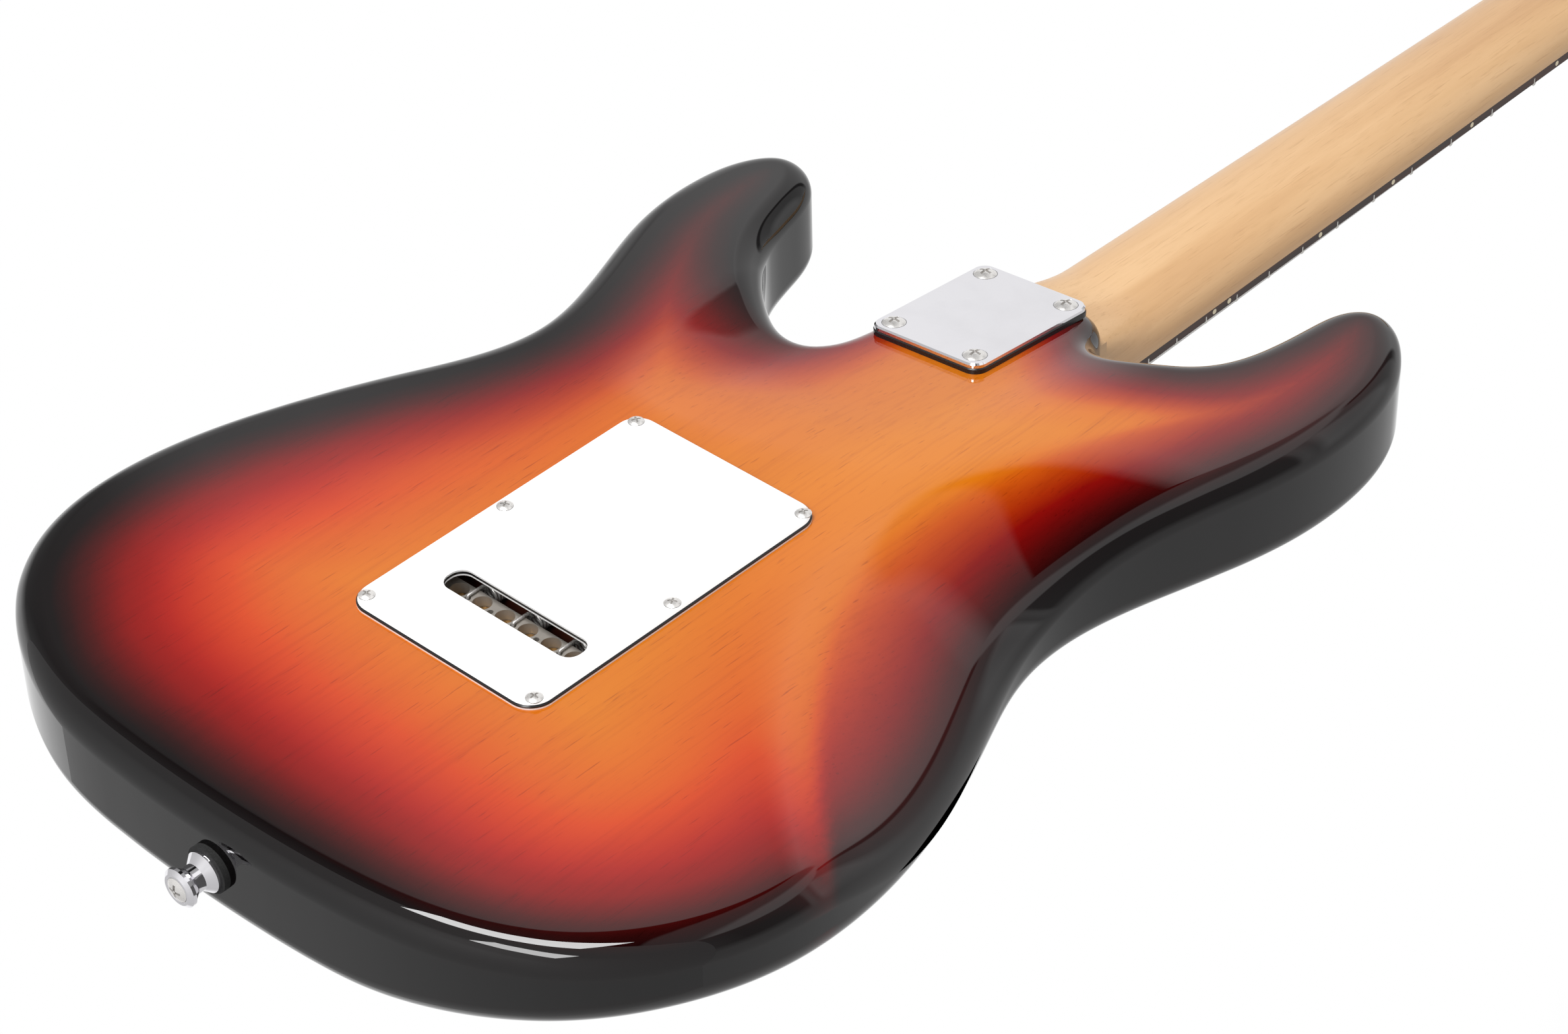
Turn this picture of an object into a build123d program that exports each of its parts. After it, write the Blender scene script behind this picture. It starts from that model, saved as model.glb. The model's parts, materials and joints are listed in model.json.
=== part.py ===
from build123d import *
from math import cos, pi, radians, sin
import os

# Electric guitar, double cutaway, bolt-on neck, sprung vibrato bridge.  Millimetres.
# It is drawn lying on its back: +X to the treble side, +Y along the neck, +Z out of the front.
# Y = 0 is the saddle line and Z = 0 the front of the body.  The export turns it upright,
# with the neck up +Z, the back towards +Y and the origin at the nut.

# ---------------------------------------------------------------- driving dimensions
scale_length = 648.0
body_thickness = 44.45
edge_radius = 10.5

nut_width = 42.0
heel_width = 56.0
pocket_end = 184.15
pocket_depth = 15.9
body_end = 260.5
fit_gap = 0.1
board_bottom = 4.7
board_top = 9.5
board_radius = 241.3
fret_count = 21
fret_width = 2.2
fret_height = 1.1
tang_width = 0.6
tang_depth = 1.7
string_count = 6
nut_string_spread = 35.5
saddle_string_spread = 53.9

headstock_top = 0.0
headstock_thickness = 14.0
tuner_spacing = 24.5
first_tuner_y = 684.0
first_tuner_x = -18.5
tuner_line_angle = 16.3

heel_drop = 11.2
heel_slope_along = 0.1028
heel_slope_across = 0.0875
heel_roll_radius = 77.0
heel_flat_half_width = 33.0
waist_slope = 0.36
waist_start = 66.0
waist_centre_y = 85.0
waist_radius = 181.0
forearm_line_start = Vector(-60, -142, 0)
forearm_line_along = Vector(-0.345, 0.94, 0)
forearm_slope = 0.22
heel_screw_rows = (pocket_end + 12.85, pocket_end + 63.65)
heel_screw_half_spacing = 19.05
heel_carve_start = -127.0
heel_carve_end = 90.0
plate_length = 64.0
plate_width = 51.0
plate_thickness = 1.7
gasket_thickness = 2.2

cover_length = 137.0
cover_width = 87.6
cover_centre_y = 21.9
cover_thickness = 2.3
cover_screw_half_x = 39.2
cover_screw_rows = (-40.8, 22.4, 85.6)
cover_slot_length = 61.6
cover_slot_width = 11.2
cover_slot_centre = (-4.3, -15.4)

cavity_floor = -28.0
cavity_half_width = 38.6
spring_cavity_half_width = 29.0
pivot_y = 11.5
pivot_z = 2.4
bridge_plate_thickness = 2.2
block_half_width = 38.2
block_neck_face = -7.2
block_tail_face = -19.0
block_bottom = -body_thickness + 7.0
string_hole_y = -11.3
spring_hook_y = -12.8
spring_pitch = 10.78
spring_axis_z = -33.0
spring_radius = 4.0
spring_wire = 1.1

guard_thickness = 2.3
guard_edge = 1.0
pickup_rows = (160.0, 99.0, 45.0)
bridge_pickup_angle = 10.0
pickup_length = 70.0
pickup_width = 17.8
pickup_height = 4.6
pickup_cover_depth = 12.0
pickup_screw_spots = (-38.6, 38.6)
knob_places = {"knob_volume": (64.0, 4.0), "knob_neck_tone": (76.0, -26.0), "knob_middle_tone": (84.0, -52.0)}
pot_radius = 8.4
selector_place = (68.0, 44.0)
selector_angle = -62.0
jack_place = (116.0, -94.0)
jack_angle = 45.0
jack_plug_radius = 3.2

PARTS = "parts"
os.makedirs(PARTS, exist_ok=True)
stand_up = Rot(90, 0, 0) * Pos(0, -scale_length, 0)


# ---------------------------------------------------------------- small helpers
def save(name, *pieces):
    solids = [solid for piece in pieces for solid in (stand_up * piece).solids()]
    export_step(Compound(solids) if len(solids) > 1 else solids[0], f"{PARTS}/{name}.step")


def cylinder(radius, low, high, x=0.0, y=0.0):
    return Pos(x, y, (low + high) / 2) * Cylinder(radius, high - low)


def block(x_range, y_range, z_range):
    size = [high - low for low, high in (x_range, y_range, z_range)]
    centre = [(low + high) / 2 for low, high in (x_range, y_range, z_range)]
    return Pos(*centre) * Box(*size)


def prism(sketch, low, high):
    return Pos(0, 0, low) * extrude(sketch, high - low)


def smooth_outline(points):
    with BuildSketch() as sketch:
        with BuildLine():
            Spline(*points, periodic=True)
        make_face()
    return sketch.sketch


def polygon(points):
    with BuildSketch() as sketch:
        with BuildLine():
            Polyline(*points, close=True)
        make_face()
    return sketch.sketch


def revolve_profile(points):
    with BuildSketch(Plane.XZ) as sketch:
        with BuildLine():
            Polyline(*points, close=True)
        make_face()
    return revolve(sketch.sketch, Axis.Z)


def oval_screw(head_radius, dome, sink, shank_radius, length):
    """Oval-head cross-recess screw: Z = 0 is the surface that it is sunk into, head up."""
    with BuildSketch(Plane.XZ) as sketch:
        with BuildLine():
            ThreePointArc((0, dome), (head_radius * 0.62, dome * 0.66), (head_radius, 0))
            Polyline((head_radius, 0), (shank_radius, -sink), (shank_radius, 1.6 * shank_radius - length),
                     (0, -length), (0, dome))
        make_face()
    screw = revolve(sketch.sketch, Axis.Z)
    depth = dome + 0.35 * sink
    for angle in (0, 90):
        arm = Box(1.15 * head_radius, 0.24 * head_radius, depth)
        screw -= Rot(0, 0, angle) * Pos(0, 0, dome - depth / 2) * arm
    return screw


def pan_screw(head_radius, head_height, shank_radius, length):
    """Pan-head screw with a straight slot: Z = 0 is the surface that its head sits on."""
    screw = cylinder(head_radius, 0, head_height) + cylinder(shank_radius, -length, 0)
    slot = block((-head_radius, head_radius), (-0.45, 0.45), (0.45 * head_height, head_height + 1))
    return screw - slot


def string_x(index, spread):
    return spread * (index / (string_count - 1) - 0.5)


def fret_y(number):
    return scale_length / 2 ** (number / 12)


def neck_width(y):
    return nut_width + (heel_width - nut_width) * (scale_length - y) / (scale_length - pocket_end)


# ---------------------------------------------------------------- body
body_outline = [
    (-57, 235), (-44.5, 237), (-36.5, 243.5), (-32.8, 251), (-27.6, 257.2), (-18, 260.3), (0, body_end),
    (17, 260.3), (24.3, 258.5), (29.3, 253.3), (31.2, 246), (31.3, 234), (31.3, 220), (31.3, 204),
    (32.3, 189), (36.5, 176.8), (47, 171.8), (60, 175.5), (74, 186.5), (86, 203), (92.5, 221),
    (98, 238), (107, 248.3), (119.5, 249.5), (130.5, 239), (136.6, 216), (134, 183), (125, 156),
    (116, 130.5), (112.1, 107), (116.9, 84), (131.8, 52.4), (146, 19.7), (156.5, -13), (161.2, -46),
    (157, -79), (141.5, -106), (112, -128), (81.5, -140), (48, -144.4), (0, -145.3), (-49.2, -142.6),
    (-91.5, -134.7), (-126, -117.5), (-151.5, -88.5), (-163.8, -56), (-164.2, -20), (-157, 13),
    (-145.9, 43.3), (-131.5, 76), (-121.5, 104), (-119.3, 127.8), (-122.5, 151), (-132, 184.3),
    (-141.7, 222), (-143.9, 252), (-138.5, 284), (-128, 303), (-120.5, 310.6), (-111.5, 313.6),
    (-103.5, 310.6), (-98, 303), (-94.6, 287), (-91.2, 267), (-84, 250), (-72, 239.5),
]


def waist_cutter():
    """A tilted cylinder: its top line is the bottom of the waist contour."""
    slope = Vector(-1, 0, waist_slope).normalized()
    inward = Vector(waist_slope, 0, 1).normalized()
    start = Vector(-waist_start, waist_centre_y, -body_thickness)
    return Plane(origin=start - inward * waist_radius, z_dir=slope) * Cylinder(waist_radius, 420)


def forearm_cutter():
    """A half-space above the sloping forearm plane, which starts along a line across the front."""
    outward = Vector(-forearm_line_along.Y, forearm_line_along.X, 0) * forearm_slope
    tilted = Plane(origin=forearm_line_start, x_dir=forearm_line_along, z_dir=outward + Vector(0, 0, 1))
    return tilted * Pos(100, 0, 40) * Box(700, 400, 80)


def heel_cutter():
    """The flat seat of the neck plate, its long sides rolled up to the back of the body."""
    with BuildSketch(Plane.XZ) as sketch:
        with BuildLine():
            right = JernArc((heel_flat_half_width, 0), (1, 0), heel_roll_radius, 50)
            left = mirror(right, Plane.YZ)
            Line(left @ 0, right @ 0)
            Line(left @ 1, right @ 1)
        make_face()
    cutter = extrude(sketch.sketch, heel_carve_end - heel_carve_start)
    return heel_frame(0) * Pos(0, heel_carve_end, 0) * cutter


def heel_frame(height):
    """Plane at the neck plate, its normal out of the back, a given height above the carved heel."""
    middle = sum(heel_screw_rows) / 2
    normal = Vector(heel_slope_across, heel_slope_along, -1).normalized()
    surface = Vector(0, middle, heel_drop - body_thickness)
    along = Vector(0, 1, heel_slope_along).normalized()
    across = along.cross(normal)
    return Plane(origin=surface + normal * height, x_dir=across, z_dir=normal)


heel_screw_spots = [
    (side * heel_screw_half_spacing, end * (heel_screw_rows[1] - heel_screw_rows[0]) / 2)
    for side in (-1, 1) for end in (-1, 1)
]
cover_screw_spots = [(side * cover_screw_half_x, y) for side in (-1, 1) for y in cover_screw_rows]
facing_back = Rot(180, 0, 0)
heel_screw_hole = 2.1
trim_screw_hole = 1.3


def neck_trapezoid(gap=0.0, far=body_end + 40):
    near = pocket_end - gap
    return polygon([
        (-neck_width(near) / 2 - gap, near), (neck_width(near) / 2 + gap, near),
        (neck_width(far) / 2 + gap, far), (-neck_width(far) / 2 - gap, far),
    ])


jack_frame = Pos(*jack_place) * Rot(0, 0, jack_angle)
control_cavity = [
    (44, 60), (44, 70), (56, 78), (70, 76), (84, 48), (92, 14), (93, -24), (96, -46), (94, -60), (78, -62),
    (66, -28), (54, 4), (56, 30),
]


def make_body():
    blank = prism(smooth_outline(body_outline), -body_thickness, 0)
    rims = [edge for edge in blank.edges() if edge.length > 800]
    body = fillet(rims, edge_radius).solid()
    cuts = [
        waist_cutter(),
        forearm_cutter(),
        heel_cutter(),
        prism(neck_trapezoid(fit_gap), -pocket_depth, 30),
        block((-38.6, 38.6), (-27, -1), (cavity_floor - 1, 10)),
        block((-cavity_half_width, cavity_half_width), (-33, 2), (-60, cavity_floor)),
        block((-spring_cavity_half_width, spring_cavity_half_width), (0, 80), (-60, cavity_floor)),
        block((-45, 45), (27, 172), (-18, 10)),
        prism(polygon(control_cavity), -36, 10),
        jack_frame * block((-19.5, 19.5), (-10, 10), (-33, 10)),
        rod_between((*knob_places["knob_middle_tone"], -25), (*jack_place, -25), 4),
        tail_button * cylinder(washer_radius, -washer_sink, 10),
        horn_button * cylinder(washer_radius, -washer_sink, 10),
        tail_button * cylinder(strap_screw_hole, -30, 10),
        horn_button * cylinder(strap_screw_hole, -30, 10),
    ]
    cuts += [heel_frame(0) * Pos(x, y, -15) * Cylinder(heel_screw_hole, 60) for x, y in heel_screw_spots]
    for x, y in cover_screw_spots:
        cuts.append(cylinder(trim_screw_hole, -body_thickness - 5, -body_thickness + 12, x, y))
    cuts += [cylinder(trim_screw_hole, -11, 5, x, y) for x, y in guard_screw_spots]
    cuts += [jack_frame * cylinder(trim_screw_hole, -11, 5, x) for x in jack_screw_spots]
    cuts += [cylinder(1.5, -15, 5, x, pivot_y) for x in pivot_screw_spots]
    cuts += [Pos(x, 88, claw_screw_z) * Rot(90, 0, 0) * Cylinder(1.7, 40) for x in claw_screw_spots]
    for cut in cuts:
        body = body - cut
    return body


# ---------------------------------------------------------------- back plates
def make_neck_plate():
    plate = Rectangle(plate_width, plate_length)
    plate = extrude(fillet(plate.vertices(), 5.0), plate_thickness)
    plate = chamfer(plate.faces().sort_by(Axis.Z)[-1].outer_wire().edges(), 0.6)
    for x, y in heel_screw_spots:
        plate -= Pos(x, y, 0) * Cylinder(2.4, 10)
        plate -= Pos(x, y, plate_thickness - 0.75) * Cone(3.1, 4.6, 1.5)
    return heel_frame(gasket_thickness) * plate


def make_gasket():
    gasket = Rectangle(plate_width + 0.6, plate_length + 0.6)
    gasket = extrude(fillet(gasket.vertices(), 5.3), gasket_thickness)
    gasket = chamfer(gasket.faces().sort_by(Axis.Z)[-1].outer_wire().edges(), 0.5)
    for x, y in heel_screw_spots:
        gasket -= Pos(x, y, 0) * Cylinder(2.4, 10)
    return heel_frame(0) * gasket


def make_neck_screws():
    screw = oval_screw(4.4, 1.5, 1.5, heel_screw_hole, 35.0)
    plate_frame = heel_frame(gasket_thickness + plate_thickness)
    return [plate_frame * Pos(x, y, 0) * screw for x, y in heel_screw_spots]


def make_back_cover():
    cover = Rectangle(cover_width, cover_length)
    cover = extrude(fillet(cover.vertices(), 9.0), cover_thickness)
    cover = chamfer(cover.faces().sort_by(Axis.Z)[-1].outer_wire().edges(), 1.2)
    slot_x, slot_y = cover_slot_centre
    slot = Rectangle(cover_slot_length, cover_slot_width)
    slot = extrude(fillet(slot.vertices(), 5.0), 10)
    cover -= Pos(-slot_x, slot_y - cover_centre_y, -5) * slot
    for x, y in cover_screw_spots:
        cover -= Pos(x, y - cover_centre_y, cover_thickness - 0.9) * Cone(trim_screw_hole, 3.1, 1.8)
        cover -= Pos(x, y - cover_centre_y, 0) * Cylinder(trim_screw_hole + 0.1, 10)
    return Pos(0, cover_centre_y, -body_thickness) * Rot(0, 180, 0) * cover


def make_cover_screws():
    screw = oval_screw(2.9, 0.95, 1.5, trim_screw_hole, 14.0)
    top = -body_thickness - cover_thickness
    return [Pos(x, y, top) * facing_back * Rot(0, 0, 30 * index) * screw
            for index, (x, y) in enumerate(cover_screw_spots)]


# ---------------------------------------------------------------- neck
def rounded_section(y, half_width, depth, power):
    """A neck cross-section: flat under the fingerboard, a superellipse behind."""
    steps = 12
    points = []
    for step in range(steps + 1):
        angle = pi * step / steps
        across = abs(cos(angle)) ** (2 / power) * half_width * (1 if cos(angle) >= 0 else -1)
        down = abs(sin(angle)) ** (2 / power) * depth
        points.append((across, board_bottom - 1.2 - down))
    with BuildSketch(Plane(origin=(0, y, 0), x_dir=(1, 0, 0), z_dir=(0, -1, 0))) as sketch:
        with BuildLine():
            Polyline(points[-1], (-half_width, board_bottom), (half_width, board_bottom), points[0])
            Spline(*points)
        make_face()
    return sketch.sketch


def shaft_section(y, back_level, power):
    return rounded_section(y, neck_width(y) / 2, board_bottom - 1.2 - back_level, power)


headstock_outline = [
    (-22.5, 656), (-31, 668), (-35.5, 684), (-30, 704), (-13.5, 760), (2.5, 812), (12, 823), (26, 823),
    (36, 812), (39, 790), (36, 750), (31.5, 715), (26.5, 684), (22.5, 656), (20.5, 646), (0, 643), (-20.5, 646),
]
tuner_frame = Pos(first_tuner_x, first_tuner_y, 0) * Rot(0, 0, -tuner_line_angle)


def tuner_spot(index):
    """A frame at one string post: local +Y runs along the row of tuners, local -X to the buttons."""
    return tuner_frame * Pos(0, tuner_spacing * index, 0)


def make_neck():
    heel = prism(neck_trapezoid(far=body_end + 2), -pocket_depth, board_bottom)
    transition = loft([
        shaft_section(body_end + 1, -pocket_depth, 9.0),
        shaft_section(body_end + 12, -pocket_depth + 0.6, 4.5),
        shaft_section(body_end + 26, -pocket_depth + 2.2, 2.8),
        shaft_section(body_end + 40, -pocket_depth + 2.7, 2.3),
    ])
    shaft = loft([
        shaft_section(body_end + 40, -pocket_depth + 2.7, 2.3),
        shaft_section(460, -12.4, 2.2),
        shaft_section(scale_length - 2, -11.5, 2.2),
    ], ruled=True)
    throat = loft([
        shaft_section(scale_length - 2, -11.5, 2.2),
        rounded_section(scale_length + 14, 22.0, board_bottom - 1.2 + 12.6, 3.2),
        rounded_section(scale_length + 30, 24.0, board_bottom - 1.2 + headstock_thickness, 7.0),
    ])
    head = prism(smooth_outline(headstock_outline), -headstock_thickness, headstock_top)
    head = chamfer([edge for edge in head.edges() if edge.length > 300], 0.8)
    head -= block((-60, 60), (600, scale_length + 22), (-60, 60))
    scoop_radius = 18.0
    scoop = block((-60, 60), (scale_length + 3.5 + scoop_radius, 900), (headstock_top, 60))
    scoop += Pos(0, scale_length + 3.5 + scoop_radius, headstock_top + scoop_radius) * Rot(0, 90, 0) * Cylinder(
        scoop_radius, 120)
    neck = heel + transition + shaft + (throat - scoop) + head
    neck -= block((-nut_width, nut_width), (scale_length - 0.1, scale_length + 3.3), (board_bottom - 1.5, 30))
    for index in range(string_count):
        neck -= tuner_spot(index) * cylinder(5.0, -60, 60)
    for x, y in heel_screw_spots:
        neck -= heel_frame(0) * Pos(x, y, -20) * Cylinder(heel_screw_hole, 44)
    neck -= block((-3.1, 3.1), (pocket_end + 30, scale_length + 19), (-6.3, board_bottom + 1))
    return neck


def make_truss_rod():
    rod = block((-3, 3), (pocket_end + 32, scale_length - 4), (-6.2, board_bottom))
    nut = Pos(0, scale_length + 6, 0) * Rot(90, 0, 0) * (Cylinder(2.9, 22) - Cylinder(1.9, 24))
    return rod, nut


def board_cylinder(radius, low_y, high_y):
    middle = (low_y + high_y) / 2
    return Pos(0, middle, board_top - board_radius) * Rot(90, 0, 0) * Cylinder(radius, high_y - low_y)


def board_plan(low_y, high_y, extra=0.0):
    low, high = neck_width(low_y) / 2 + extra, neck_width(high_y) / 2 + extra
    return polygon([(-low, low_y), (low, low_y), (high, high_y), (-high, high_y)])


dot_frets = (3, 5, 7, 9, 12, 15, 17, 19, 21)
dot_proud = 0.03


def dot_y(number):
    return (fret_y(number) + fret_y(number - 1)) / 2


def side_level(y):
    drop = (neck_width(y) / 2) ** 2 / (2 * board_radius)
    return (board_bottom + board_top - drop) / 2


def dot_solids():
    dots = []
    for number in dot_frets:
        y = dot_y(number)
        pair = number == 12
        for x in ((-14.5, 14.5) if pair else (0.0,)):
            top = board_top - x * x / (2 * board_radius)
            dots.append(cylinder(3.1, top - 1.6, top + dot_proud, x, y))
        for shift in ((-4.6, 4.6) if pair else (0.0,)):
            edge = neck_width(y + shift) / 2
            dots.append(Pos(-edge + 1.0, y + shift, side_level(y)) * Rot(0, 90, 0) * Cylinder(1.1, 2.1))
    return dots


def make_fretboard(dots):
    board = prism(board_plan(pocket_end, scale_length - 0.1), board_bottom, board_top + 4)
    board = board & board_cylinder(board_radius, 150, 700)
    cuts = [block((-40, 40), (fret_y(n) - tang_width / 2, fret_y(n) + tang_width / 2),
                  (board_top - 1.6 - tang_depth, board_top + 5)) for n in range(1, fret_count + 1)]
    return board.solid().cut(*[solid for cut in cuts + dots for solid in cut.solids()])


def make_frets():
    frets = []
    for number in range(1, fret_count + 1):
        y = fret_y(number)
        crown = prism(board_plan(y - fret_width / 2, y + fret_width / 2), board_bottom, board_top + 4)
        crown = (crown & board_cylinder(board_radius + fret_height, y - 5, y + 5)) - board_cylinder(
            board_radius, y - 5, y + 5)
        slot_plan = board_plan(y - tang_width / 2, y + tang_width / 2)
        tang = prism(slot_plan, board_top - 1.6 - tang_depth, board_top + 4)
        tang = tang & board_cylinder(board_radius + 0.2, y - 5, y + 5)
        fret = (crown + tang).solid()
        crest = [edge for edge in fret.edges() if edge.center().Z > board_top + 0.3 and edge.length > 20]
        frets.append(chamfer(crest, 0.5))
    return frets


def string_height_at_nut(x):
    return board_top + fret_height + 0.5 - x * x / (2 * board_radius)


def make_nut():
    nut = block((-nut_width / 2, nut_width / 2), (scale_length, scale_length + 3.2), (board_bottom - 1.5, 30))
    nut = nut & board_cylinder(board_radius + 2.3, 600, 700)
    for index in range(string_count):
        x = string_x(index, nut_string_spread)
        nut -= Pos(x, scale_length, string_height_at_nut(x) + 1.5) * Box(1.5, 12, 3.0)
    return nut


# ---------------------------------------------------------------- tuners
post_radius = 3.0
post_top = 17.0
shaft_z = -headstock_thickness - 5.4
button_reach = 24.0


def make_tuner_post():
    post = cylinder(post_radius, shaft_z - 3.0, post_top) - Pos(0, 0, 9.0) * Rot(0, 90, 0) * Cylinder(0.8, 10)
    post += cylinder(4.4, shaft_z + 3.05, shaft_z + 4.7)
    waist = cylinder(post_radius + 1, 6.6, 11.2) - cylinder(post_radius - 0.5, 6.6, 11.2)
    post -= waist
    return post - block((-5, 5), (-0.6, 0.6), (13.2, 20))


def make_tuner_bushing():
    ring = cylinder(4.9, -headstock_thickness + 5.1, headstock_top) + cylinder(6.6, headstock_top, 1.4)
    return ring - cylinder(post_radius + 0.06, -40, 40)


def make_tuner_housing():
    low = shaft_z - 4.6
    shell = block((-10.5, 7.5), (-9.5, 9.5), (low, -headstock_thickness))
    shell = fillet(shell.edges().filter_by(Axis.Z), 3.5)
    shell = chamfer(shell.faces().sort_by(Axis.Z)[0].outer_wire().edges(), 1.6)
    shell -= cylinder(5.0, shaft_z - 1.0, -headstock_thickness)
    shell -= cylinder(post_radius + 0.06, shaft_z - 3.3, 0)
    shell += cylinder(5.0, -headstock_thickness, -headstock_thickness + 4.8)
    shell -= cylinder(post_radius + 0.06, -headstock_thickness - 1, 0)
    neck_of_shaft = Pos(-12.5, 0, shaft_z) * Rot(0, 90, 0) * Cylinder(3.9, 6)
    return shell + neck_of_shaft - Pos(-8, 0, shaft_z) * Rot(0, 90, 0) * Cylinder(2.05, 20)


def make_tuner_button():
    shaft = Pos(-12.0, 0, shaft_z) * Rot(0, 90, 0) * Cylinder(2.0, 14.0)
    collar = Pos(-button_reach + 5.6, 0, shaft_z) * Rot(0, 90, 0) * Cylinder(3.0, 4.0)
    paddle = extrude(Ellipse(7.0, 9.0), 3.6, both=True)
    paddle = fillet(paddle.edges(), 2.6)
    return shaft + collar + Pos(-button_reach, 0, shaft_z) * Rot(90, 0, 0) * paddle


def make_string_trees():
    trees = []
    for pair, y in ((2.5, scale_length + 62.0), (4.5, scale_length + 98.0)):
        x = tree_x(pair, y)
        bar = block((-5.5, 5.5), (-2.2, 2.2), (tree_level + 1.3, tree_level + 2.6))
        post = cylinder(2.0, headstock_top, tree_level + 1.3)
        trees.append(Pos(x, y, 0) * (bar + post))
    return trees


tree_level = 9.6


# ---------------------------------------------------------------- strings
string_radii = (0.58, 0.46, 0.33, 0.22, 0.17, 0.13)
string_bend = 1.06  # radius of the ball at a bend, as a share of the string's radius
saddle_string_z = 13.2


def rod_between(start, end, radius):
    start, end = Vector(*start), Vector(*end)
    way = end - start
    return Plane(origin=(start + end) * 0.5, z_dir=way) * Cylinder(radius, way.length)


def string_route(index):
    """Ball end, up through the block, over the saddle and the nut, to the near side of its post."""
    x_bridge = string_x(index, saddle_string_spread)
    x_nut = string_x(index, nut_string_spread)
    radius = string_radii[index]
    post = tuner_spot(index).position
    lift = string_bend * radius
    side = post_radius + radius + 0.3
    return [
        (x_bridge, string_hole_y, block_bottom + 6.2),
        (x_bridge, string_hole_y, pivot_z + 5.0),
        (x_bridge, -3.2, saddle_string_z + lift),
        (x_bridge, 1.0, saddle_string_z + lift),
        (x_nut, scale_length + 1.6, string_height_at_nut(x_nut) + lift),
        (post.X + side, post.Y, 8.6),
    ]


def tree_x(pair, y):
    """Midway between the two strings that one tree covers, where they cross the line Y = y."""
    crossings = []
    for index in (int(pair - 0.5), int(pair + 0.5)):
        start, end = string_route(index)[4:6]
        crossings.append(start[0] + (end[0] - start[0]) * (y - start[1]) / (end[1] - start[1]))
    return sum(crossings) / 2


def make_string(index):
    route = string_route(index)
    radius = string_radii[index]
    solid = rod_between(route[0], route[1], radius)
    for start, end in zip(route[1:], route[2:]):
        solid += rod_between(start, end, radius) + Pos(*start) * Sphere(string_bend * radius)
    return solid


# ---------------------------------------------------------------- vibrato bridge
pivot_screw_spots = [11.2 * (index - 2.5) for index in range(6)]
arm_place = (35.0, -14.0)
bridge_top = pivot_z + bridge_plate_thickness
spring_rows = (-2 * spring_pitch, 0.0, 2 * spring_pitch)
claw_y = 66.0
claw_screw_spots = (-12.5, 12.5)
claw_screw_z = -36.0


def make_bridge_plate():
    plate = block((-42, 42), (-30, 14), (pivot_z, bridge_top))
    plate = fillet(plate.edges().filter_by(Axis.Z), 2.0)
    plate += block((-40, 40), (-30, -28.2), (bridge_top, bridge_top + 8.0))
    for x in pivot_screw_spots:
        plate -= cylinder(2.3, -5, 20, x, pivot_y)
    for index in range(string_count):
        x = string_x(index, saddle_string_spread)
        plate -= cylinder(1.6, -5, 20, x, string_hole_y)
        plate -= Pos(x, -29, bridge_top + 4.2) * Rot(90, 0, 0) * Cylinder(1.4, 8)
    return plate - cylinder(3.2, -5, 20, *arm_place)


def make_inertia_block():
    across = (-block_half_width, block_half_width)
    steel = block(across, (block_tail_face, block_neck_face), (block_bottom, pivot_z))
    for index in range(string_count):
        x = string_x(index, saddle_string_spread)
        steel -= cylinder(1.6, -60, 20, x, string_hole_y)
        steel -= cylinder(3.5, block_bottom - 1, block_bottom + 7.0, x, string_hole_y)
    for index in range(5):
        x = spring_pitch * (index - 2)
        steel -= cylinder(1.1, block_bottom - 1, block_bottom + 6.0, x, spring_hook_y)
    return steel - cylinder(2.55, -22, 20, *arm_place)


def make_ball_ends():
    ring = cylinder(3.3, block_bottom + 4.2, block_bottom + 6.9) - cylinder(1.0, -60, 0)
    places = [string_x(index, saddle_string_spread) for index in range(string_count)]
    return [Pos(x, string_hole_y, 0) * ring for x in places]


def make_pivot_screws():
    screw = cylinder(1.5, -14, pivot_z + 3.0) + cylinder(3.6, bridge_top + 0.9, bridge_top + 2.7)
    screw += cylinder(1.5, pivot_z, bridge_top + 1.0) + cylinder(3.0, 0, pivot_z - 0.4)
    for angle in (20, 110):
        screw -= Rot(0, 0, angle) * Pos(0, 0, bridge_top + 2.7) * Box(4.2, 0.9, 1.6)
    return [Pos(x, pivot_y, 0) * screw for x in pivot_screw_spots]


def make_saddles():
    saddles = []
    for index in range(string_count):
        x = string_x(index, saddle_string_spread)
        saddle = block((-5.1, 5.1), (-16, 1.5), (bridge_top + 1.6, bridge_top + 3.2))
        front = block((-5.1, 5.1), (-2.4, 1.5), (bridge_top + 1.6, saddle_string_z - 0.2))
        back = block((-5.1, 5.1), (-16, -14.4), (bridge_top + 1.6, bridge_top + 7.0))
        saddle = saddle + front + back
        saddle -= block((-1.7, 1.7), (-13.4, -7.2), (0, 30))
        saddle -= Pos(0, -15, bridge_top + 4.2) * Rot(90, 0, 0) * Cylinder(1.35, 6)
        for side in (-3.6, 3.6):
            saddle -= cylinder(1.15, 0, 30, side, -0.5)
        saddles.append(Pos(x, 0, 0) * saddle)
    return saddles


def make_saddle_screws():
    screw = cylinder(1.1, bridge_top + 0.02, saddle_string_z - 1.6) - cylinder(0.6, saddle_string_z - 3.0, 40)
    return [Pos(string_x(index, saddle_string_spread) + side, -0.5, 0) * screw
            for index in range(string_count) for side in (-3.6, 3.6)]


def make_intonation_screws():
    screw = Rot(90, 0, 0) * pan_screw(2.5, 1.8, 1.3, 15.8)
    return [Pos(string_x(index, saddle_string_spread), -30.0, bridge_top + 4.2) * screw
            for index in range(string_count)]


def make_intonation_springs():
    coils = []
    for index in range(string_count):
        x = string_x(index, saddle_string_spread)
        for turn in range(6):
            ring = Pos(x, -27.2 + 2.0 * turn, bridge_top + 4.2) * Rot(90, 0, 0)
            coils.append(ring * Torus(1.95, 0.35))
    return coils


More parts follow.
